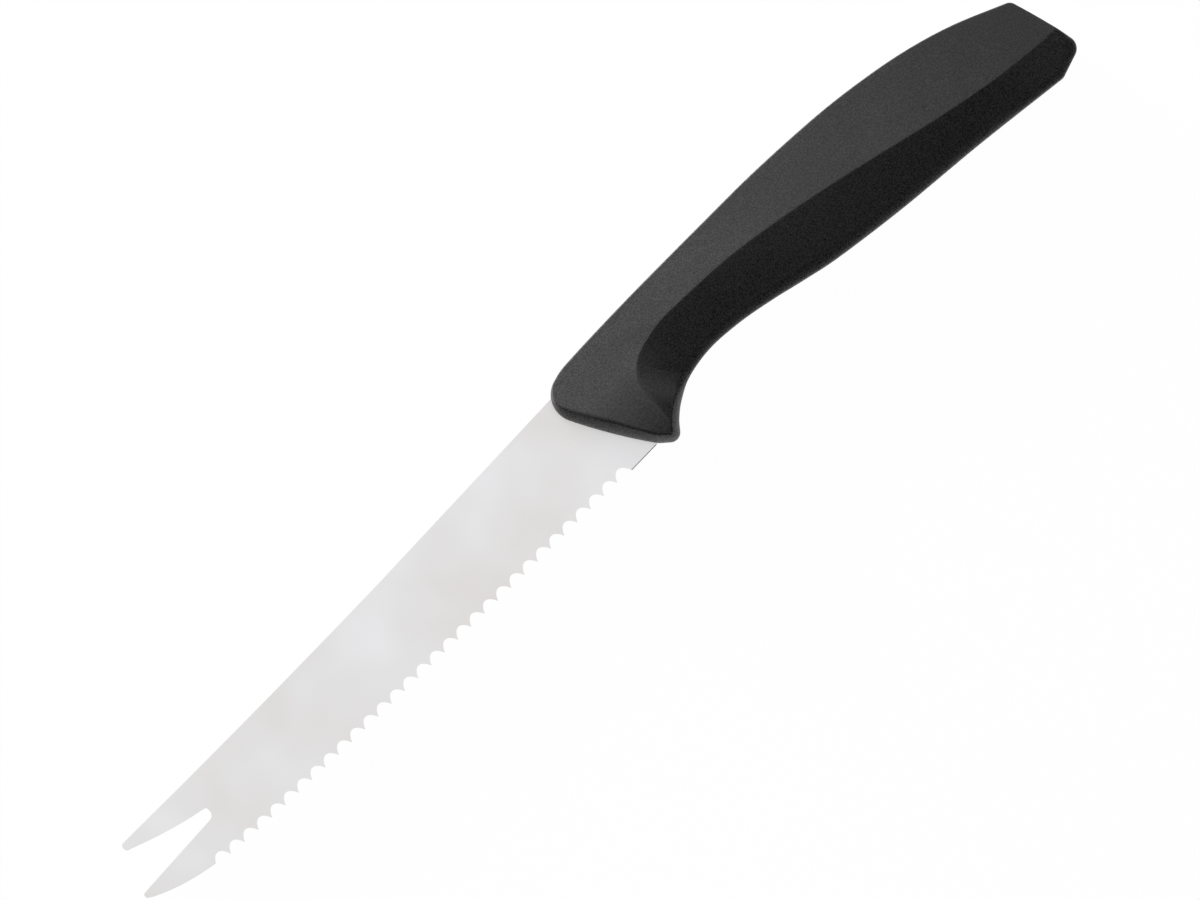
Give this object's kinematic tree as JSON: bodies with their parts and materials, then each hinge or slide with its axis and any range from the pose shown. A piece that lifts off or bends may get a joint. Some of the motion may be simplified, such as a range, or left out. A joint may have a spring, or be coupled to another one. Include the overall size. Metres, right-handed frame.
{
  "type": "tomato knife",
  "caption": "Tomato knife: flat stamped blade with a forked tip and a scalloped edge, in a faceted moulded plastic handle.",
  "frame": {"origin": "on the blade's left flat face, halfway between spine and edge, in line with the handle's foremost point", "axes": "+X along the blade towards the butt, +Y towards the spine, +Z out of the blade's left face; the knife lies on its right side"},
  "size_m": [0.2276, 0.029, 0.0154],
  "materials": {
    "blade_steel": "fine ground and satin polished stainless steel",
    "handle_plastic": "black moulded plastic with a fine spark-eroded grain"
  },
  "bodies": {
    "root": {"blade": "blade_steel", "handle": "handle_plastic"}
  },
  "joints": []
}
